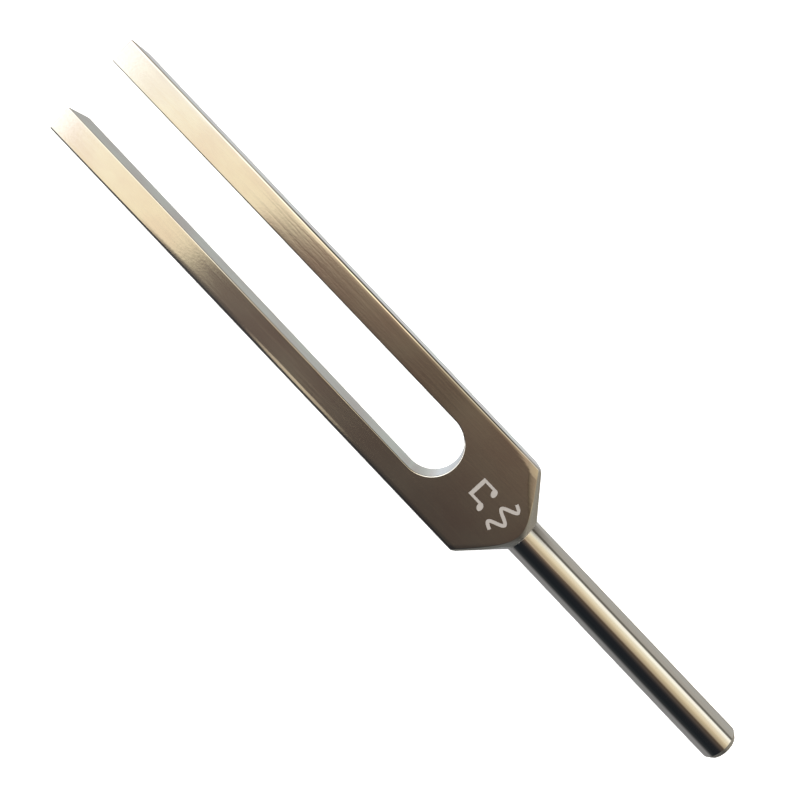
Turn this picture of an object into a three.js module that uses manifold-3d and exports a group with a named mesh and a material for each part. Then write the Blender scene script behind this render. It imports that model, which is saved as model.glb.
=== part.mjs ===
// Tuning fork: a two-tined head cut from flat aluminium bar, with a round stem screwed into its coned end.
// Millimetres. The fork lies flat on its back: X runs across the tines, +Y points to their tips, +Z is up.
// The origin is at the centre of the footprint, on the surface that the head lies on.

import * as THREE from 'three';
import { mergeVertices } from 'three/addons/utils/BufferGeometryUtils.js';
import Module from 'manifold-3d';

const wasm = await Module();
wasm.setup();

// Driving dimensions
const OVERALL_LENGTH = 189.7; // tine tips to the foot of the stem
const HEAD_WIDTH = 25; // across both tines
const HEAD_DEPTH = 10; // thickness of the bar
const HEAD_LENGTH = 129; // tine tips to the small end of the cone
const SLOT_DEPTH = 108.5; // tine tips to the bottom of the slot
const SLOT_WIDTH_AT_TIPS = 13.1;
const SLOT_WIDTH_AT_ROOT = 13.55; // the tines are filed a little thinner here
const EDGE_BREAK = 0.25; // chamfer along the edges of the bar
const CONE_HALF_ANGLE = THREE.MathUtils.degToRad(48);
const STEM_RADIUS = 4.2;
const FOOT_CHAMFER = 0.8; // inwards from the stem's side
const FOOT_CHAMFER_LENGTH = 1.1;
const SHANK_RADIUS = 3; // threaded end of the stem, as a plain cylinder over its crests
const SHANK_LENGTH = 9;
const SHANK_CHAMFER = 0.6;
const FIT_GAP = 0.3; // clearance between the stem and the head
const OUTSIDE = 20; // a size that reaches past the bar on every side

const SLOT_ARC_SEGMENTS = 48;
const CONE_SEGMENTS = 144;
const STEM_SEGMENTS = 72;

// Places along the fork, and the height of its axis
const TIP_Y = OVERALL_LENGTH / 2;
const FOOT_Y = -OVERALL_LENGTH / 2;
const CONE_END_Y = TIP_Y - HEAD_LENGTH;
const SLOT_ARC_RADIUS = SLOT_WIDTH_AT_ROOT / 2;
const SLOT_ARC_Y = TIP_Y - SLOT_DEPTH + SLOT_ARC_RADIUS;
const AXIS_Z = HEAD_DEPTH / 2;

function toSolid(geometry) {
  geometry.deleteAttribute('normal');
  geometry.deleteAttribute('uv');
  const merged = mergeVertices(geometry, 1e-5);
  const vertProperties = new Float32Array(merged.attributes.position.array);
  const triVerts = new Uint32Array(merged.index.array);
  return new wasm.Manifold(new wasm.Mesh({ numProp: 3, vertProperties, triVerts }));
}

function toGeometry(solid) {
  const { vertProperties, triVerts } = solid.getMesh();
  const geometry = new THREE.BufferGeometry();
  geometry.setAttribute('position', new THREE.BufferAttribute(vertProperties, 3));
  geometry.setIndex(new THREE.BufferAttribute(triVerts, 1));
  geometry.computeVertexNormals();
  return geometry;
}

// A round piece about the fork's own axis, from [radius, y] points that start and end on the axis.
function turned(points, segments) {
  const profile = points.map(([radius, y]) => new THREE.Vector2(radius, y));
  return toSolid(new THREE.LatheGeometry(profile, segments)).translate([0, 0, AXIS_Z]);
}

// The two-tined outline: straight outer sides, and a slot that ends in a half circle.
function forkOutline() {
  const outline = new THREE.Shape();
  outline.moveTo(-HEAD_WIDTH / 2, TIP_Y);
  outline.lineTo(-HEAD_WIDTH / 2, CONE_END_Y);
  outline.lineTo(HEAD_WIDTH / 2, CONE_END_Y);
  outline.lineTo(HEAD_WIDTH / 2, TIP_Y);
  outline.lineTo(SLOT_WIDTH_AT_TIPS / 2, TIP_Y);
  outline.lineTo(SLOT_ARC_RADIUS, SLOT_ARC_Y);
  outline.absarc(0, SLOT_ARC_Y, SLOT_ARC_RADIUS, 0, -Math.PI, true);
  outline.lineTo(-SLOT_WIDTH_AT_TIPS / 2, TIP_Y);
  outline.closePath();
  return outline;
}

// The bar with its slot, its long edges lightly chamfered.
function slottedBar() {
  const geometry = new THREE.ExtrudeGeometry(forkOutline(), {
    depth: HEAD_DEPTH - 2 * EDGE_BREAK,
    curveSegments: SLOT_ARC_SEGMENTS,
    bevelThickness: EDGE_BREAK,
    bevelSize: EDGE_BREAK,
    bevelOffset: -EDGE_BREAK,
    bevelSegments: 1,
  });
  return toSolid(geometry.translate(0, 0, EDGE_BREAK));
}

// Everything that the lathe leaves when it cones the closed end of the bar down to the stem's diameter.
function coneEnvelope() {
  const coneLength = (OUTSIDE - STEM_RADIUS) / Math.tan(CONE_HALF_ANGLE);
  const points = [
    [0, CONE_END_Y],
    [STEM_RADIUS, CONE_END_Y],
    [OUTSIDE, CONE_END_Y + coneLength],
    [OUTSIDE, TIP_Y + OUTSIDE],
    [0, TIP_Y + OUTSIDE],
  ];
  return turned(points, CONE_SEGMENTS);
}

// The blind hole in the end of the cone that the stem's shank screws into.
function stemSocket() {
  const radius = SHANK_RADIUS + FIT_GAP;
  const points = [
    [0, CONE_END_Y - OUTSIDE],
    [radius, CONE_END_Y - OUTSIDE],
    [radius, CONE_END_Y + SHANK_LENGTH],
    [0, CONE_END_Y + SHANK_LENGTH + radius],
  ];
  return turned(points, STEM_SEGMENTS);
}

function forkHead() {
  return slottedBar().intersect(coneEnvelope()).subtract(stemSocket());
}

// The round stem that the fork is held by, with its shank and its chamfered foot.
function handleStem() {
  const shoulderY = CONE_END_Y - FIT_GAP;
  const shankEndY = shoulderY + SHANK_LENGTH;
  const points = [
    [0, FOOT_Y],
    [STEM_RADIUS - FOOT_CHAMFER, FOOT_Y],
    [STEM_RADIUS, FOOT_Y + FOOT_CHAMFER_LENGTH],
    [STEM_RADIUS, shoulderY],
    [SHANK_RADIUS, shoulderY],
    [SHANK_RADIUS, shankEndY - SHANK_CHAMFER],
    [SHANK_RADIUS - SHANK_CHAMFER, shankEndY],
    [0, shankEndY],
  ];
  return turned(points, STEM_SEGMENTS);
}

const brushedAluminium = new THREE.MeshStandardMaterial({ color: 0xb9b7b4, roughness: 0.35, metalness: 1 });
const polishedAluminium = new THREE.MeshStandardMaterial({ color: 0xc8c7c5, roughness: 0.12, metalness: 1 });

function namedMesh(name, solid, material) {
  const mesh = new THREE.Mesh(toGeometry(solid), material);
  mesh.name = name;
  return mesh;
}

const group = new THREE.Group();
group.add(namedMesh('fork_head', forkHead(), brushedAluminium));
group.add(namedMesh('handle_stem', handleStem(), polishedAluminium));

export default group;
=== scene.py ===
"""Tuning fork: fine meshes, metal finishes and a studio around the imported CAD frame.

The fork lies flat, with X across its tines, +Y towards their tips and +Z up. Shapes are worked out in
millimetres, with z measured from the fork's own axis, and become metres when a piece is made.
"""

import math

import bmesh
import bpy
import numpy as np
from mathutils import Matrix, Vector
from mathutils.geometry import delaunay_2d_cdt


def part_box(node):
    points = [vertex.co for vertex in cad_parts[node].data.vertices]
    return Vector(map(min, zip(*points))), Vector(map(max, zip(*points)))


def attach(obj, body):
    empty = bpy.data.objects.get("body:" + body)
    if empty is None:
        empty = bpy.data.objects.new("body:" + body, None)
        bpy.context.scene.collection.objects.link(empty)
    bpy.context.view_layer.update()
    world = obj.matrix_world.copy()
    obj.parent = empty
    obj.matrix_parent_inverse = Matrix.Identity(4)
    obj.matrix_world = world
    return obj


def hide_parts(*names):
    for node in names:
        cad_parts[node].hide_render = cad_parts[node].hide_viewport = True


MM = 0.001

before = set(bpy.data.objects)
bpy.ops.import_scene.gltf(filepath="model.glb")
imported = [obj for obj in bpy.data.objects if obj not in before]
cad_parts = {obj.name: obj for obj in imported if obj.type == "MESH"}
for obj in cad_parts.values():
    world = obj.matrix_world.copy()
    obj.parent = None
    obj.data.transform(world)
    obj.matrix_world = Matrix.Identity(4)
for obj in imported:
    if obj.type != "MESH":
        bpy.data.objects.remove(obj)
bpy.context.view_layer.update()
HEAD_LOW, HEAD_HIGH = (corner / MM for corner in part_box("fork_head"))
STEM_LOW, STEM_HIGH = (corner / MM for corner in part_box("handle_stem"))

# Places and sizes that the frame gives
HALF_WIDTH = HEAD_HIGH.x
HALF_DEPTH = HEAD_HIGH.z / 2
AXIS_HEIGHT = HEAD_HIGH.z / 2
TIP_Y = HEAD_HIGH.y
CONE_END_Y = HEAD_LOW.y
STEM_RADIUS = STEM_HIGH.x
FOOT_Y = STEM_LOW.y
SHANK_END_Y = STEM_HIGH.y

# Sizes of the head that a box can't give, as in the CAD source
SLOT_DEPTH = 108.5
SLOT_HALF_WIDTH_AT_TIPS = 6.55
SLOT_RADIUS = 6.775
SLOT_ARC_Y = TIP_Y - SLOT_DEPTH + SLOT_RADIUS
CONE_HALF_ANGLE = math.radians(48)
SHOULDER_Y = CONE_END_Y + (math.hypot(HALF_WIDTH, HALF_DEPTH) - STEM_RADIUS) / math.tan(CONE_HALF_ANGLE)

# Hand finishing of the head's edges
EDGE_RADIUS = 0.4
EDGE_ROUNDNESS = 1.5  # 1 is a plain chamfer, and 2 is a circle's arc
SLOT_EDGE_RADIUS = 0.25
SLOT_EDGE_REACH = 4.2  # how far from the slot its smaller rounding ends
SLOT_EDGE_FADE = 3.0  # over how much of that it grows to the larger one
BUFF_DEPTH = 0.26  # how far the faces fall away at the most
BUFF_WIDTH = 2.3  # band that falls away there
BUFF_LEAST_WIDTH = 0.3  # share of that band left where the wheel barely bears
BUFF_CURVE = 1.3
BUFF_REACH = 8.5  # how far up the sides the wheel bears harder
# How hard the buffing wheel bore on the left edges, and on the right ones
TINE_BUFFING = np.array((0.28, 0.17))
SHOULDER_BUFFING = np.array((0.3, 0.85))
CONE_BUFFING = np.array((0.35, 1.0))

# Screwed joint between the stem and the head
THREAD_RADIUS = 3.0
THREAD_PITCH = 1.0
THREAD_DEPTH = 0.5
THREAD_FLANK = 2.7  # how steeply a flank rises, in thread depths per pitch
THREAD_RUN_OUT = 0.6
SOCKET_CLEARANCE = 0.06
SEAT_GAP = 0.01
JOINT_LINE = 0.04  # bevel on both sides of the joint

FOOT_CHAMFER = 0.8  # inwards from the stem's side
FOOT_CHAMFER_LENGTH = 1.1
FOOT_ROUNDING = 0.08

# Mesh steps, crowded where edges are rounded
EDGE_STEPS = (0, 0.08, 0.16, 0.25, 0.36, 0.55, 0.8, 1.1, 1.4, 1.7, 2.0, 2.3, 2.6)
SIDE_STEP = 3.0
CONE_STEP = 0.7
LEVEL_STEP = 1.0
SLOT_ARC_STEPS = 64
STEM_SEGMENTS = 128
THREAD_STEPS = 91
ROUNDING_STEPS = 7
POINT_RADIUS = 0.001  # round parts close on a ring this small

MARK_DEPTH = 0.05


# ---------------------------------------------------------------- shape of the head

def ladder(length, step):
    """Fractions along an edge of that length, crowded at both ends."""
    ends = [s for s in EDGE_STEPS if s < length / 2]
    inner = length - 2 * ends[-1]
    middle = np.linspace(ends[-1], length - ends[-1], max(2, math.ceil(inner / step) + 1))
    return np.array([*ends[:-1], *middle, *(length - e for e in reversed(ends[:-1]))]) / length


def cone_y(x, z, inset=0.0):
    """Where the cone's surface is above a point of the cross-section, or a line inset from it."""
    radius = np.hypot(x, z)
    slope = x / radius / math.tan(CONE_HALF_ANGLE)
    return CONE_END_Y + (radius - STEM_RADIUS) / math.tan(CONE_HALF_ANGLE) + inset * np.sqrt(1 + slope**2)


def slot_half_width(y):
    """Half the slot's width, which narrows slightly from its round end to the tips."""
    share = (y - SLOT_ARC_Y) / (TIP_Y - SLOT_ARC_Y)
    return SLOT_RADIUS + (SLOT_HALF_WIDTH_AT_TIPS - SLOT_RADIUS) * share


TINE_WIDTH = HALF_WIDTH - SLOT_HALF_WIDTH_AT_TIPS
SIDE_FRACTIONS = ladder(TIP_Y - SHOULDER_Y, SIDE_STEP)
CONE_FRACTIONS = 2 * ladder(2 * HALF_WIDTH, CONE_STEP) - 1
TIP_FRACTIONS = ladder(TINE_WIDTH, LEVEL_STEP)
SLOT_FRACTIONS = ladder(TIP_Y - SLOT_ARC_Y, SIDE_STEP)
LEVELS = HALF_DEPTH * (1 - 2 * ladder(2 * HALF_DEPTH, LEVEL_STEP))


def outline_sides(inset, z):
    """The head's plan at a height z, inset from its edges, as six runs of points that join end to end."""
    side_x = HALF_WIDTH - inset
    tip_y = TIP_Y - inset
    shoulder_y = cone_y(side_x, z, inset)
    slot_x = SLOT_HALF_WIDTH_AT_TIPS + inset

    down = tip_y + (shoulder_y - tip_y) * SIDE_FRACTIONS
    cone_x = side_x * CONE_FRACTIONS
    tip_x = side_x + (slot_x - side_x) * TIP_FRACTIONS

    wall_y = tip_y + (SLOT_ARC_Y - tip_y) * SLOT_FRACTIONS
    wall_x = slot_x + (SLOT_RADIUS + inset - slot_x) * SLOT_FRACTIONS
    turn = np.linspace(0, -math.pi, SLOT_ARC_STEPS + 1)[1:-1]
    arc_x = (SLOT_RADIUS + inset) * np.cos(turn)
    arc_y = SLOT_ARC_Y + (SLOT_RADIUS + inset) * np.sin(turn)

    def run(x, y):
        x, y = np.broadcast_arrays(x, y)
        return np.column_stack([x, y])

    return {
        "left": run(-side_x, down),
        "cone": run(cone_x, cone_y(cone_x, z, inset)),
        "right": run(side_x, down[::-1]),
        "right_tip": run(tip_x, tip_y),
        "slot": run(
            np.concatenate([wall_x, arc_x, -wall_x[::-1]]),
            np.concatenate([wall_y, arc_y, wall_y[::-1]]),
        ),
        "left_tip": run(-tip_x[::-1], tip_y),
    }


def closed_outline(inset, z):
    """The same plan as one closed loop, each corner once."""
    return np.concatenate([side[:-1] for side in outline_sides(inset, z).values()])


def with_z(points, z):
    """Plan points lifted to a height."""
    return np.column_stack([points, np.broadcast_to(z, len(points))])


def past_cone(x, y, z):
    """How far a point is outside the cone, or minus its distance inside it."""
    radius = np.hypot(x, z)
    return (radius - STEM_RADIUS) * math.cos(CONE_HALF_ANGLE) - (y - CONE_END_Y) * math.sin(CONE_HALF_ANGLE)


def buffing(x, y, z):
    """How far the faces fall away along their outer edges, where the wheel has rounded them off."""
    across = np.abs(x)
    side = (x > 0).astype(int)
    near_shoulder = np.clip(1 - (y - SHOULDER_Y) / BUFF_REACH, 0, 1)
    along_tine = TINE_BUFFING[side]
    along_side = along_tine + (SHOULDER_BUFFING[side] - along_tine) * near_shoulder**2
    past_stem = np.clip((across - STEM_RADIUS) / (HALF_WIDTH - STEM_RADIUS), 0, 1)
    along_cone = CONE_BUFFING[side] * past_stem * (2 - past_stem)

    def fall(distance, amount):
        width = BUFF_WIDTH * (BUFF_LEAST_WIDTH + (1 - BUFF_LEAST_WIDTH) * amount)
        return amount * np.clip(1 - distance / width, 0, 1) ** BUFF_CURVE

    return BUFF_DEPTH * (fall(HALF_WIDTH - across, along_side) + fall(-past_cone(x, y, z), along_cone))


def slot_distance(across, y):
    """How far a point is inside the slot, or minus its distance from the slot's wall."""
    beside = slot_half_width(y) - across
    round_end = SLOT_RADIUS - np.hypot(across, y - SLOT_ARC_Y)
    return np.where(y > SLOT_ARC_Y, beside, round_end)


def skin_value(points):
    """Zero on the head's skin, negative inside: its planes, cone and slot, with every edge rounded."""
    x, y, z = points.T
    across = np.abs(x)
    distances = np.stack([
        np.abs(z) - HALF_DEPTH + buffing(x, y, z),
        across - HALF_WIDTH,
        y - TIP_Y,
        past_cone(x, y, z),
        slot_distance(across, y),
    ])
    beside_slot = np.clip((SLOT_EDGE_REACH + slot_distance(across, y)) / SLOT_EDGE_FADE, 0, 1)
    radius = EDGE_RADIUS + (SLOT_EDGE_RADIUS - EDGE_RADIUS) * beside_slot
    past = np.maximum(distances + radius, 0) ** EDGE_ROUNDNESS
    return np.minimum(-radius, distances.max(axis=0)) + past.sum(axis=0) ** (1 / EDGE_ROUNDNESS)


def skin_gradient(points):
    """The skin value's slope, by central differences."""
    step = 1e-4
    parts = []
    for axis in np.eye(3):
        parts.append((skin_value(points + step * axis) - skin_value(points - step * axis)) / (2 * step))
    return np.column_stack(parts)


def settle_on_skin(points):
    """Moves points onto the rounded skin and returns them with the skin's normals there."""
    points = points.copy()
    for _ in range(8):
        gradient = skin_gradient(points)
        points -= (skin_value(points) / (gradient**2).sum(axis=1))[:, None] * gradient
    gradient = skin_gradient(points)
    return points, gradient / np.linalg.norm(gradient, axis=1)[:, None]


# ---------------------------------------------------------------- mesh building

class Patchwork:
    """Faces gathered patch by patch, welded where their corners meet."""

    def __init__(self):
        self.points = []
        self.lookup = {}
        self.faces = []
        self.materials = []
        self.uvs = []
        self.fixed = set()

    def vertex(self, point):
        """The number of the vertex at a point, which is added if it's new."""
        key = tuple(np.round(point, 5) + 0.0)
        if key not in self.lookup:
            self.lookup[key] = len(self.points)
            self.points.append(point)
        return self.lookup[key]

    def face(self, corners, uvs, material, fixed=False):
        """One face, unless it has shrunk to a line. Fixed ones aren't moved onto the rounded skin."""
        indices = [self.vertex(corner) for corner in corners]
        kept = [k for k, index in enumerate(indices) if index != indices[k - 1]]
        if len(kept) < 3:
            return
        self.faces.append([indices[k] for k in kept])
        self.uvs.append([uvs[k] for k in kept])
        self.materials.append(material)
        if fixed:
            self.fixed.update(indices)

    def grid(self, rows, uv_rows, material, closed=False, fixed=False):
        """Quads between rows of points. Closed rows also join their last point to their first."""
        count = len(rows[0])
        for row, uv_row, below, uv_below in zip(rows, uv_rows, rows[1:], uv_rows[1:]):
            for k in range(count if closed else count - 1):
                n = (k + 1) % count
                # The UVs run on past the last column instead of jumping back to the first
                seam = (0, uv_row[k][1] - uv_row[n][1] + uv_row[1][1] - uv_row[0][1]) if n == 0 else (0, 0)
                corners = [row[k], row[n], below[n], below[k]]
                uvs = [uv_row[k], np.add(uv_row[n], seam), np.add(uv_below[n], seam), uv_below[k]]
                self.face(corners, uvs, material, fixed)


def make_piece(name, patchwork, materials, normals=None):
    """A Blender object from a patchwork in millimetres about the fork's axis."""
    points = (np.array(patchwork.points) + [0, 0, AXIS_HEIGHT]) * MM
    mesh = bpy.data.meshes.new(name)
    mesh.from_pydata(points.tolist(), [], patchwork.faces)
    layer = mesh.uv_layers.new(name="brush")
    layer.data.foreach_set("uv", np.concatenate([np.array(uv) * MM for uv in patchwork.uvs]).ravel())
    mesh.polygons.foreach_set("material_index", patchwork.materials)
    mesh.polygons.foreach_set("use_smooth", [True] * len(mesh.polygons))
    for material in materials:
        mesh.materials.append(material)
    shape = bmesh.new()
    shape.from_mesh(mesh)
    bmesh.ops.recalc_face_normals(shape, faces=shape.faces)
    shape.to_mesh(mesh)
    shape.free()
    mesh.set_sharp_from_angle(angle=math.radians(35))
    if normals is not None:
        vertices = np.zeros(len(mesh.loops), dtype=int)
        mesh.loops.foreach_get("vertex_index", vertices)
        mesh.normals_split_custom_set(normals[vertices].tolist())
    piece = bpy.data.objects.new(name, mesh)
    bpy.context.scene.collection.objects.link(piece)
    return piece


# ---------------------------------------------------------------- etched mark

def disc(x, y, width, height, tilt, steps=32):
    """A tilted ellipse."""
    turn = np.linspace(0, 2 * math.pi, steps, endpoint=False)
    u = width / 2 * np.cos(turn)
    v = height / 2 * np.sin(turn)
    c, s = math.cos(tilt), math.sin(tilt)
    return np.column_stack([x + u * c - v * s, y + u * s + v * c])


def bar(x0, y0, x1, y1, thickness):
    """An upright or slanting bar between two points, cut level at its sides."""
    if abs(x1 - x0) < abs(y1 - y0):
        side = np.array([thickness / 2, 0])
    else:
        side = np.array([0, thickness / 2])
    a, b = np.array([x0, y0]), np.array([x1, y1])
    return np.array([a - side, b - side, b + side, a + side])


def wave(x, y, width, height, thickness, cycles=2, steps=96):
    """A ribbon that follows a sine wave."""
    u = np.linspace(-0.5, 0.5, steps)
    swing = 2 * math.pi * cycles
    amplitude = (height - thickness) / 2
    line = np.column_stack([x + u * (width - thickness), y + amplitude * np.sin(swing * (u + 0.5))])
    slope = np.gradient(line, axis=0)
    side = np.column_stack([-slope[:, 1], slope[:, 0]])
    side *= thickness / 2 / np.linalg.norm(side, axis=1)[:, None]
    return np.concatenate([line - side, (line + side)[::-1]])


def mark_shapes():
    """A pair of joined notes over a sound wave, in plain strokes."""
    stroke = 0.75
    notes_x, notes_y = 0.75, TIP_Y - 116.5
    left, right = notes_x - 1.9, notes_x + 2.1
    foot, top = notes_y - 1.5, notes_y + 1.75
    return [
        disc(left - 0.55, foot, 1.85, 1.3, math.radians(20)),
        disc(right - 0.55, foot, 1.85, 1.3, math.radians(20)),
        bar(left, foot, left, top, stroke * 0.8),
        bar(right, foot, right, top, stroke * 0.8),
        bar(left - stroke * 0.4, top, right + stroke * 0.4, top, 0.9),
        wave(0.3, TIP_Y - 122.75, 8.35, 3.7, stroke),
    ]


def inside(polygon, points):
    """Which points lie inside a polygon, by counting crossings."""
    x, y = points.T
    result = np.zeros(len(points), dtype=bool)
    for (x0, y0), (x1, y1) in zip(polygon, np.roll(polygon, -1, axis=0)):
        crosses = (y0 > y) != (y1 > y)
        if y0 != y1:
            result ^= crosses & (x < (x1 - x0) * (y - y0) / (y1 - y0) + x0)
    return result


def fill_plan(boundary, shapes):
    """Triangles that fill a loop, following the edges of shapes inside it, and which lie in a shape."""
    loops = [boundary, *shapes]
    points = [Vector(p) for loop in loops for p in loop]
    edges = []
    start = 0
    for loop in loops:
        edges += [(start + k, start + (k + 1) % len(loop)) for k in range(len(loop))]
        start += len(loop)
    vertices, _, faces, *_ = delaunay_2d_cdt(points, edges, [], 0, 1e-6)
    plan = np.array([tuple(v) for v in vertices])
    faces = np.array(faces)
    middles = plan[faces].mean(axis=1)
    kept = inside(boundary, middles)
    sunk = np.zeros(len(faces), dtype=bool)
    for shape in shapes:
        sunk |= inside(shape, middles)
    return plan, faces[kept], sunk[kept]


# ---------------------------------------------------------------- the pieces

# Material slots: the head has all three, and the stem has its own two
FLAT, TURNED, ETCHED = 0, 1, 2
POLISHED, FOOT_TURNED = 0, 1


def flat_uv(points):
    """UVs of a face seen from above, with the brush lines along the fork."""
    return [(p[0], p[1]) for p in points]


def add_face(work, sign, shapes):
    """The front or back face: loops stepping in from the outline, then a flat middle with its sunk mark."""
    z = sign * HALF_DEPTH
    rows = [with_z(closed_outline(inset, z), z) for inset in EDGE_STEPS]
    work.grid(rows, [flat_uv(row) for row in rows], FLAT, closed=True)
    plan, faces, sunk = fill_plan(rows[-1][:, :2], shapes)
    top = with_z(plan, z)
    low = with_z(plan, z - sign * MARK_DEPTH)
    rim = {}
    for corners, is_sunk in zip(faces, sunk):
        level = low if is_sunk else top
        material = ETCHED if is_sunk else FLAT
        work.face(level[corners], flat_uv(level[corners]), material, fixed=is_sunk)
        if is_sunk:
            for a, b in zip(corners, np.roll(corners, -1)):
                if (b, a) in rim:
                    del rim[b, a]
                else:
                    rim[a, b] = True
    for a, b in rim:
        corners = [top[a], top[b], low[b], low[a]]
        work.face(corners, flat_uv(corners), ETCHED)


def add_walls(work):
    """The tines' outer sides, tips and slot, between the front and back faces."""
    for side in ("left", "right", "right_tip", "slot", "left_tip"):
        rows = [with_z(outline_sides(0, z)[side], z) for z in LEVELS]
        steps = np.linalg.norm(np.diff(rows[0], axis=0), axis=1)
        along = np.concatenate([[0], np.cumsum(steps)])
        work.grid(rows, [[(z, v) for v in along] for z in LEVELS], FLAT)


def cone_boundary():
    """The loop where the cone meets the bar's four sides, as (x, z) points."""
    x = HALF_WIDTH * CONE_FRACTIONS
    z = LEVELS
    front = np.column_stack([x, np.full(len(x), HALF_DEPTH)])
    right = np.column_stack([np.full(len(z), HALF_WIDTH), z])
    return np.concatenate([front[:-1], right[:-1], -front[:-1], -right[:-1]])


def thread_radius(turn, y, crest):
    """Radius of a screw thread at an angle and a place along the axis."""
    phase = (y / THREAD_PITCH - turn / (2 * math.pi)) % 1
    ridge = np.clip((0.5 - np.abs(phase - 0.5)) * THREAD_FLANK, 0, 1)
    return crest - THREAD_DEPTH * (1 - ridge)


def ring(radius, y, turn):
    """Points round the fork's axis, at one place along it."""
    return np.column_stack([radius * np.sin(turn), np.broadcast_to(y, len(turn)), radius * np.cos(turn)])


def thread_rows(turn, start_y, end_y, crest):
    """Rings of a threaded length, with the thread fading out at both ends."""
    root = crest - THREAD_DEPTH
    rows = []
    for y in np.linspace(start_y, end_y, THREAD_STEPS):
        fade = np.clip(min(y - start_y, end_y - y) / THREAD_RUN_OUT, 0, 1)
        rows.append(ring(root + fade * (thread_radius(turn, y, crest) - root), y, turn))
    return rows


def add_cone(work):
    """The coned end, from the bar's sides down to the stem, and the tapped socket inside it."""
    cross = cone_boundary()
    turn = np.arctan2(cross[:, 0], cross[:, 1])
    edge = np.column_stack([cross[:, 0], cone_y(cross[:, 0], cross[:, 1]), cross[:, 1]])
    small = ring(STEM_RADIUS + JOINT_LINE, CONE_END_Y + JOINT_LINE / math.tan(CONE_HALF_ANGLE), turn)
    reach = np.linalg.norm(edge - small, axis=1).min()
    fractions = [s / reach for s in EDGE_STEPS if s < reach / 2]
    fractions += list(np.linspace(fractions[-1], 1, 6)[1:])
    rows = [edge + t * (small - edge) for t in fractions]
    around = np.unwrap(turn) * STEM_RADIUS
    work.grid(rows, [[(t * reach, v) for v in around] for t in fractions], TURNED, closed=True)

    mouth = THREAD_RADIUS + SOCKET_CLEARANCE
    thread_start = CONE_END_Y + 0.4
    thread_end = SHANK_END_Y + 0.5
    drill_end = SHANK_END_Y + 1.5
    rows = [small, ring(STEM_RADIUS - JOINT_LINE, CONE_END_Y, turn), ring(mouth, CONE_END_Y, turn)]
    rows += thread_rows(turn, thread_start, thread_end, mouth)
    rows.append(ring(POINT_RADIUS, drill_end, turn))
    work.grid(rows, [[(k, v) for v in around] for k in range(len(rows))], TURNED, closed=True, fixed=True)
    work.face(rows[-1], flat_uv(rows[-1]), TURNED, fixed=True)


def make_head():
    """The slotted bar with its coned end and tapped socket, every outer edge rounded."""
    work = Patchwork()
    add_face(work, 1, mark_shapes())
    add_face(work, -1, [])
    add_walls(work)
    add_cone(work)
    points = np.array(work.points)
    free = np.array([k not in work.fixed for k in range(len(points))])
    normals = np.zeros_like(points)
    points[free], normals[free] = settle_on_skin(points[free])
    work.points = list(points)
    materials = [brushed_aluminium(), turned_aluminium(), etched_aluminium()]
    return make_piece("fork_head_machined", work, materials, normals)


def rounded_profile(corners):
    """A [radius, y] outline from corners that each give their own rounding."""
    points = []
    for k, (r, y, rounding) in enumerate(corners):
        here = np.array([r, y])
        if rounding == 0:
            points.append(here)
            continue
        before = np.array(corners[k - 1][:2]) - here
        after = np.array(corners[k + 1][:2]) - here
        before /= np.linalg.norm(before)
        after /= np.linalg.norm(after)
        for t in np.linspace(0, 1, ROUNDING_STEPS):
            a = here + rounding * before * (1 - t) ** 2
            points.append(a + rounding * after * t**2)
    return points


def make_stem():
    """The stem: chamfered foot, long round grip, and the shank screwed into the head."""
    turn = np.linspace(0, 2 * math.pi, STEM_SEGMENTS, endpoint=False)
    grip_y = FOOT_Y + FOOT_CHAMFER_LENGTH
    shoulder_y = CONE_END_Y - SEAT_GAP
    thread_start = shoulder_y + 0.3
    thread_end = SHANK_END_Y - 0.4
    profile = rounded_profile([
        (POINT_RADIUS, FOOT_Y, 0),
        (STEM_RADIUS - FOOT_CHAMFER, FOOT_Y, FOOT_ROUNDING),
        (STEM_RADIUS, grip_y, FOOT_ROUNDING),
        (STEM_RADIUS, shoulder_y, JOINT_LINE),
        (THREAD_RADIUS - THREAD_DEPTH, shoulder_y, 0),
    ])
    rows = [ring(r, y, turn) for r, y in profile]
    rows += thread_rows(turn, thread_start, thread_end, THREAD_RADIUS)
    rows.append(ring(POINT_RADIUS, SHANK_END_Y, turn))
    work = Patchwork()
    along = np.cumsum([0, *(np.linalg.norm(a[0] - b[0]) for a, b in zip(rows, rows[1:]))])
    around = turn * STEM_RADIUS
    uv_rows = [[(u, v) for v in around] for u in along]
    grip = 1 + max(k for k, (_, y) in enumerate(profile) if y < grip_y)
    work.grid(rows[:grip + 1], uv_rows[:grip + 1], FOOT_TURNED, closed=True)
    work.grid(rows[grip:], uv_rows[grip:], POLISHED, closed=True)
    work.face(rows[0], flat_uv(rows[0]), FOOT_TURNED)
    work.face(rows[-1], flat_uv(rows[-1]), POLISHED)
    return make_piece("stem_polished", work, [polished_aluminium(), turned_aluminium()])


# ---------------------------------------------------------------- materials

def add_node(tree, kind, settings=None, **inputs):
    """A node with its settings, and its inputs linked from sockets or set to values."""
    node = tree.nodes.new(kind)
    for name, value in (settings or {}).items():
        setattr(node, name, value)
    for name, value in inputs.items():
        socket = node.inputs[int(name[1:])] if name[0] == "_" else node.inputs[name.replace("_", " ")]
        if isinstance(value, bpy.types.NodeSocket):
            tree.links.new(value, socket)
        else:
            socket.default_value = value
    return node


def metal(name, colour, roughness, anisotropic):
    """A metal with its shader, and the tree that the finish is added to."""
    material = bpy.data.materials.new(name)
    material.use_nodes = True
    tree = material.node_tree
    shader = tree.nodes["Principled BSDF"]
    shader.inputs["Base Color"].default_value = (*colour, 1)
    shader.inputs["Metallic"].default_value = 1
    shader.inputs["Roughness"].default_value = roughness
    shader.inputs["Anisotropic"].default_value = anisotropic
    return material, tree, shader


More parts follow.
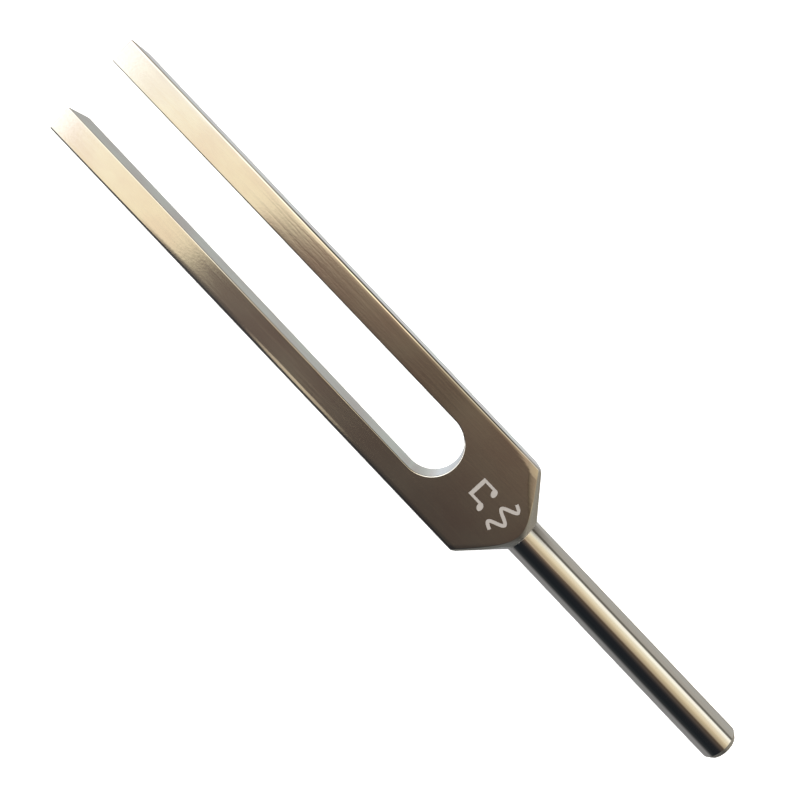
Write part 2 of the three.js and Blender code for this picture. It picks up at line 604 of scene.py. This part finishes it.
def streaks(tree, across, along, detail=3.0):
    """Noise drawn out along the brush lines: cells per metre across and along them."""
    uv = add_node(tree, "ShaderNodeUVMap", {"uv_map": "brush"})
    stretched = add_node(
        tree, "ShaderNodeVectorMath", {"operation": "MULTIPLY"},
        _0=uv.outputs["UV"], _1=(across, along, 1),
    )
    noise = add_node(
        tree, "ShaderNodeTexNoise", {"noise_dimensions": "2D"},
        Vector=stretched.outputs[0], Scale=1.0, Detail=detail,
    )
    return noise.outputs["Fac"]


def spread(tree, value, low, high):
    """A noise value stretched over a range."""
    node = add_node(
        tree, "ShaderNodeMapRange",
        Value=value, From_Min=0.3, From_Max=0.7, To_Min=low, To_Max=high,
    )
    return node.outputs["Result"]


def grain(tree, shader, height, strength):
    """Fine relief in the metal, a hundredth of a millimetre deep at full strength."""
    bump = add_node(tree, "ShaderNodeBump", Strength=strength, Distance=0.00001, Height=height)
    tree.links.new(bump.outputs["Normal"], shader.inputs["Normal"])


def brush_direction(tree, shader):
    """Lines the shader's stretched highlights up with the brush lines."""
    tangent = add_node(tree, "ShaderNodeTangent", {"direction_type": "UV_MAP", "uv_map": "brush"})
    tree.links.new(tangent.outputs["Tangent"], shader.inputs["Tangent"])


def brushed_aluminium():
    """The flat faces: long brush lines over a fine mottle, faintly stained."""
    material, tree, shader = metal("brushed_aluminium", (0.9, 0.89, 0.88), 0.12, 0.4)
    lines = streaks(tree, 1600, 45, 4)
    mottle = streaks(tree, 2600, 1300, 2)
    tree.links.new(spread(tree, lines, 0.08, 0.12), shader.inputs["Roughness"])
    grain(tree, shader, math_node(tree, "MULTIPLY_ADD", mottle, 0.6, lines), 0.4)
    stains = streaks(tree, 110, 70, 4)
    tint = mix_colour(tree, spread(tree, stains, 0, 1), (0.86, 0.81, 0.79, 1), (0.93, 0.94, 0.9, 1))
    tree.links.new(tint, shader.inputs["Base Color"])
    brush_direction(tree, shader)
    return material


def turned_aluminium():
    """The lathe-cut cone, socket and foot."""
    material, tree, shader = metal("turned_aluminium", (0.9, 0.89, 0.88), 0.25, 0.6)
    grain(tree, shader, streaks(tree, 2200, 60, 4), 0.5)
    brush_direction(tree, shader)
    return material


def etched_aluminium():
    """The mark: matt and paler, because it scatters light that the faces mirror away."""
    material, _, shader = metal("etched_aluminium", (0.41, 0.385, 0.37), 0.6, 0.0)
    shader.inputs["Metallic"].default_value = 0.5
    return material


def polished_aluminium():
    """The stem's grip, with faint turning lines."""
    material, tree, shader = metal("polished_aluminium", (0.92, 0.91, 0.9), 0.1, 0.3)
    grain(tree, shader, streaks(tree, 1800, 60, 4), 0.1)
    brush_direction(tree, shader)
    return material


# ---------------------------------------------------------------- studio

CAMERA_PLACE = Vector((24.43, 3.29, 194.86)) * MM
CAMERA_TARGET = Vector((0.885, 3.97, 5.0)) * MM
PICTURE_UP_HEADING = math.radians(46.3)
CAMERA_LENS = 41.04


def make_camera():
    """Looks down on the front face, with the fork slanting across the picture."""
    data = bpy.data.cameras.new("camera")
    data.lens = CAMERA_LENS
    data.sensor_width = 36
    data.clip_start = 0.01
    data.clip_end = 20
    camera = bpy.data.objects.new("camera", data)
    bpy.context.scene.collection.objects.link(camera)
    backward = (CAMERA_PLACE - CAMERA_TARGET).normalized()
    guide = Vector((math.cos(PICTURE_UP_HEADING), math.sin(PICTURE_UP_HEADING), 0))
    right = guide.cross(backward).normalized()
    up = backward.cross(right)
    turned = Matrix((right, up, backward)).transposed().to_4x4()
    camera.matrix_world = Matrix.Translation(CAMERA_PLACE) @ turned
    bpy.context.scene.camera = camera


# The room that the metal mirrors. First round the fork, by degrees from straight up (0) towards +X (90)
CROSSWISE = [
    (-180, (0.70, 0.76, 0.82)),
    (-165, (0.55, 0.58, 0.62)),
    (-140, (0.25, 0.25, 0.25)),
    (-99, (0.225, 0.225, 0.225)),
    (-90, (0.118, 0.12, 0.12)),
    (-80, (0.03, 0.033, 0.035)),
    (-60, (0.012, 0.015, 0.018)),
    (-30, (0.015, 0.016, 0.019)),
    (-21, (0.031, 0.028, 0.027)),
    (-11, (0.076, 0.060, 0.050)),
    (-3, (0.080, 0.057, 0.040)),
    (1.5, (0.115, 0.087, 0.06)),
    (4.5, (0.27, 0.21, 0.142)),
    (8, (0.41, 0.33, 0.23)),
    (20, (0.55, 0.45, 0.29)),
    (31, (0.77, 0.66, 0.45)),
    (43, (0.84, 0.76, 0.57)),
    (54, (1.05, 1.01, 0.87)),
    (65.5, (1.05, 1.03, 0.92)),
    (71.5, (0.13, 0.12, 0.105)),
    (80.5, (0.15, 0.14, 0.12)),
    (87.5, (0.40, 0.38, 0.34)),
    (140, (0.41, 0.40, 0.37)),
    (165, (0.39, 0.40, 0.39)),
    (171, (0.42, 0.43, 0.42)),
    (176, (0.60, 0.61, 0.62)),
    (180, (0.70, 0.76, 0.82)),
]
# Then its bright end, by degrees towards +Y
LENGTHWISE = [
    (12, (0.92, 0.78, 0.53)),
    (18, (0.99, 0.85, 0.59)),
    (23.1, (1.0, 0.87, 0.66)),
    (25.5, (1.04, 0.97, 0.82)),
]
# Then what the fork's own ends face: past the tips by height, and past the foot from left to right
TIP_END = [(-0.4, (0.70, 0.74, 0.78)), (0.3, (1.08, 1.06, 1.0))]
FOOT_END = [
    (-0.4, (0.13, 0.13, 0.12)),
    (-0.12, (0.065, 0.06, 0.05)),
    (0.12, (0.24, 0.22, 0.175)),
    (0.5, (0.29, 0.265, 0.215)),
]
BEYOND_TIPS = (1.4, 1.38, 1.33, 1)
LEFT_LAMP = (0.7, 0.58, 0.41, 1)
FOOT_LAMP = (0.3, 0.295, 0.28, 1)
RIGHT_WALL = (0.06, 0.052, 0.04, 1)
CLUTTER_TINTS = ((0.93, 0.85, 0.85, 1), (1.07, 1.13, 1.08, 1))


def map_range(tree, value, low, high, to_low=0.0, to_high=1.0, smooth=False):
    """A value carried from one range to another, and held at its ends."""
    kind = "SMOOTHSTEP" if smooth else "LINEAR"
    node = add_node(
        tree, "ShaderNodeMapRange", {"interpolation_type": kind},
        Value=value, From_Min=low, From_Max=high, To_Min=to_low, To_Max=to_high,
    )
    return node.outputs["Result"]


def math_node(tree, operation, *values):
    """The result of a sum on sockets and numbers."""
    inputs = {f"_{k}": value for k, value in enumerate(values)}
    return add_node(tree, "ShaderNodeMath", {"operation": operation}, **inputs).outputs[0]


def mix_colour(tree, share, first, second):
    """The first colour at a share of nothing, and the second at one."""
    node = add_node(tree, "ShaderNodeMix", {"data_type": "RGBA"}, _0=share, _6=first, _7=second)
    return node.outputs[2]


def colour_ramp(tree, value, stops):
    """A colour that follows a value through stops."""
    low, high = stops[0][0], stops[-1][0]
    ramp = add_node(tree, "ShaderNodeValToRGB", Fac=map_range(tree, value, low, high))
    elements = ramp.color_ramp.elements
    elements.remove(elements[1])
    for k, (stop, colour) in enumerate(stops):
        place = (stop - low) / (high - low)
        element = elements[0] if k == 0 else elements.new(place)
        element.position = place
        element.color = (*colour, 1)
    return ramp.outputs["Color"]


def warm_side(tree, across, along):
    """How much the light from the right warms the brown above the head."""
    tines = map_range(tree, across, -6, -3, 0, 0.7, smooth=True)
    tip_side = map_range(tree, across, -5.4, -3.6, 0, 1.4)
    tines = math_node(tree, "MULTIPLY_ADD", tip_side, map_range(tree, along, 1, 9), tines)
    yoke = map_range(tree, across, -9.5, -3.5, 0, 0.85)
    yoke = math_node(tree, "MULTIPLY", yoke, map_range(tree, along, -1, -5))
    warm = math_node(tree, "MAXIMUM", tines, yoke)
    return math_node(tree, "MULTIPLY", warm, map_range(tree, along, -12.2, -10))


def spot(tree, x, y, centre_x, centre_y, half_x, half_y):
    """One at the middle of an oval patch of the room, fading to nothing at its edge."""
    u = math_node(tree, "DIVIDE", math_node(tree, "SUBTRACT", x, centre_x), half_x)
    v = math_node(tree, "DIVIDE", math_node(tree, "SUBTRACT", y, centre_y), half_y)
    square = math_node(tree, "MULTIPLY_ADD", u, u, math_node(tree, "MULTIPLY", v, v))
    return map_range(tree, square, 1, 0, smooth=True)


def product(tree, first, *rest):
    """All the values multiplied together."""
    result = first
    for value in rest:
        result = math_node(tree, "MULTIPLY", result, value)
    return result


def scaled(tree, colour, factor):
    """A colour made brighter or darker."""
    node = add_node(tree, "ShaderNodeVectorMath", {"operation": "SCALE"}, _0=colour, _3=factor)
    return node.outputs[0]


def sides_of_room(tree, direction, across, along, above):
    """The colours across the fork, warmer over its head and broken up by faint clutter."""
    glow = map_range(tree, along, -4, 14, 0, 1.1)
    glow = math_node(tree, "ADD", glow, warm_side(tree, across, along))
    band = spot(tree, across, along, -2, -3.7, 12, 1.5)
    glow = math_node(tree, "MULTIPLY_ADD", band, 0.3, glow)
    glow = product(tree, glow, map_range(tree, across, 2, 12, 1, 0, smooth=True))
    glow = math_node(tree, "MULTIPLY_ADD", glow, above, 1)
    room = scaled(tree, colour_ramp(tree, across, CROSSWISE), glow)
    clutter = add_node(tree, "ShaderNodeTexNoise", Vector=direction, Scale=24, Detail=3)
    tint = mix_colour(tree, spread(tree, clutter.outputs["Fac"], 0, 1), *CLUTTER_TINTS)
    return add_node(tree, "ShaderNodeVectorMath", {"operation": "MULTIPLY"}, _0=room, _1=tint).outputs[0]


def add_bright_end(tree, room, across, along, above):
    """The window wall past the tips, whose near edge slants across the room."""
    slant = map_range(tree, across, -60, -5, -16, 0.6)
    bend = map_range(tree, across, -5.5, -2, 0, 4, smooth=True)
    bend = math_node(tree, "ADD", bend, map_range(tree, across, 6, 16, 0, 8))
    slanted = math_node(tree, "ADD", math_node(tree, "ADD", along, slant), bend)
    lengthwise = colour_ramp(tree, slanted, LENGTHWISE)
    lengthwise = mix_colour(tree, map_range(tree, along, 24.9, 25.7), lengthwise, BEYOND_TIPS)
    lengthwise = scaled(tree, lengthwise, map_range(tree, across, 2, 12, 1, 1.4))
    near_edge = map_range(tree, slanted, 13.2, 15.4, smooth=True)
    share = product(tree, above, near_edge, map_range(tree, across, 64, 72, 1, 0))
    return mix_colour(tree, share, room, lengthwise)


def add_lamp_and_wall(tree, room, across, along):
    """A small warm lamp on the left, and a dark wall low on the right."""
    room = mix_colour(tree, spot(tree, across, along, -16, 5.4, 3.7, 5.1), room, LEFT_LAMP)
    wide = product(tree, map_range(tree, across, 42, 68), map_range(tree, across, 126, 118))
    long = product(tree, map_range(tree, along, -10, -6), map_range(tree, along, 16, 12))
    return mix_colour(tree, product(tree, wide, long), room, RIGHT_WALL)


def add_ends(tree, room, x, z, across, along):
    """What the ends of the fork and the cone face."""
    tip_end = map_range(tree, along, 60, 70, smooth=True)
    room = mix_colour(tree, tip_end, room, colour_ramp(tree, z, TIP_END))
    beneath = map_range(tree, math_node(tree, "ABSOLUTE", across), 150, 162)
    beneath = product(tree, beneath, map_range(tree, along, -10, -16))
    foot_end = math_node(tree, "MAXIMUM", beneath, map_range(tree, along, -32, -38, smooth=True))
    lamp = spot(tree, x, z, 0, -0.6, 0.25, 0.3)
    beyond_foot = mix_colour(tree, lamp, colour_ramp(tree, x, FOOT_END), FOOT_LAMP)
    return mix_colour(tree, foot_end, room, beyond_foot)


def make_world():
    """The room, laid out by angles across and along the fork."""
    world = bpy.data.worlds.new("studio")
    bpy.context.scene.world = world
    world.use_nodes = True
    tree = world.node_tree
    direction = add_node(tree, "ShaderNodeTexCoord").outputs["Generated"]
    parts = add_node(tree, "ShaderNodeSeparateXYZ", Vector=direction)
    x, y, z = (parts.outputs[k] for k in "XYZ")
    across = math_node(tree, "DEGREES", math_node(tree, "ARCTAN2", x, z))
    along = math_node(tree, "DEGREES", math_node(tree, "ARCSINE", y))
    above = map_range(tree, z, 0, 0.15, smooth=True)

    room = sides_of_room(tree, direction, across, along, above)
    room = add_bright_end(tree, room, across, along, above)
    room = add_lamp_and_wall(tree, room, across, along)
    room = add_ends(tree, room, x, z, across, along)
    tree.links.new(room, tree.nodes["Background"].inputs["Color"])


def floor_mesh():
    """A flat disc, shaded flat, and a smooth curve from its edge up into a round backdrop."""
    flat_radius, curve_radius, height = 1.0, 1.5, 4.0
    segments = 96
    profile = []
    for turn in np.linspace(0, math.pi / 2, 13):
        profile.append((flat_radius + curve_radius * math.sin(turn), curve_radius * (1 - math.cos(turn))))
    profile.append((flat_radius + curve_radius, height))
    turns = np.linspace(0, 2 * math.pi, segments, endpoint=False)
    points = [(r * math.cos(t), r * math.sin(t), h) for r, h in profile for t in turns]
    faces = [tuple(range(segments))]
    for inner in range(0, segments * (len(profile) - 1), segments):
        outer = inner + segments
        for n in range(segments):
            m = (n + 1) % segments
            faces.append((inner + m, inner + n, outer + n, outer + m))
    mesh = bpy.data.meshes.new("floor")
    mesh.from_pydata(points, [], faces)
    mesh.polygons.foreach_set("use_smooth", [False] + [True] * (len(faces) - 1))
    return mesh


def pale_floor():
    """Matt off-white paper, lit a little from within."""
    material = bpy.data.materials.new("pale_floor")
    material.use_nodes = True
    shader = material.node_tree.nodes["Principled BSDF"]
    shader.inputs["Base Color"].default_value = (0.85, 0.85, 0.86, 1)
    shader.inputs["Roughness"].default_value = 0.9
    shader.inputs["Emission Color"].default_value = (1, 1, 1, 1)
    shader.inputs["Emission Strength"].default_value = 0.6
    return material


def make_stage():
    """The pale floor. The metal mirrors the room instead of it."""
    mesh = floor_mesh()
    mesh.materials.append(pale_floor())
    floor = bpy.data.objects.new("floor", mesh)
    bpy.context.scene.collection.objects.link(floor)
    floor.visible_glossy = False
    floor.visible_diffuse = False
    floor.visible_shadow = False


def make_light():
    """A wide soft lamp overhead, for the floor and the matt mark. The metal mirrors the room instead."""
    data = bpy.data.lights.new("overhead", "AREA")
    data.shape = "DISK"
    data.size = 1.6
    data.energy = 22
    light = bpy.data.objects.new("overhead", data)
    light.location = (0.2, 0.2, 1.2)
    light.visible_glossy = False
    light.visible_camera = False
    bpy.context.scene.collection.objects.link(light)


# ---------------------------------------------------------------- assembly

def main():
    """The studio, then the two pieces, each in place of its CAD node."""
    bpy.context.scene.view_settings.view_transform = "Standard"
    make_camera()
    make_stage()
    make_world()
    make_light()
    head = make_head()
    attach(head, "root")
    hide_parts("fork_head")
    stem = make_stem()
    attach(stem, "root")
    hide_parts("handle_stem")


main()
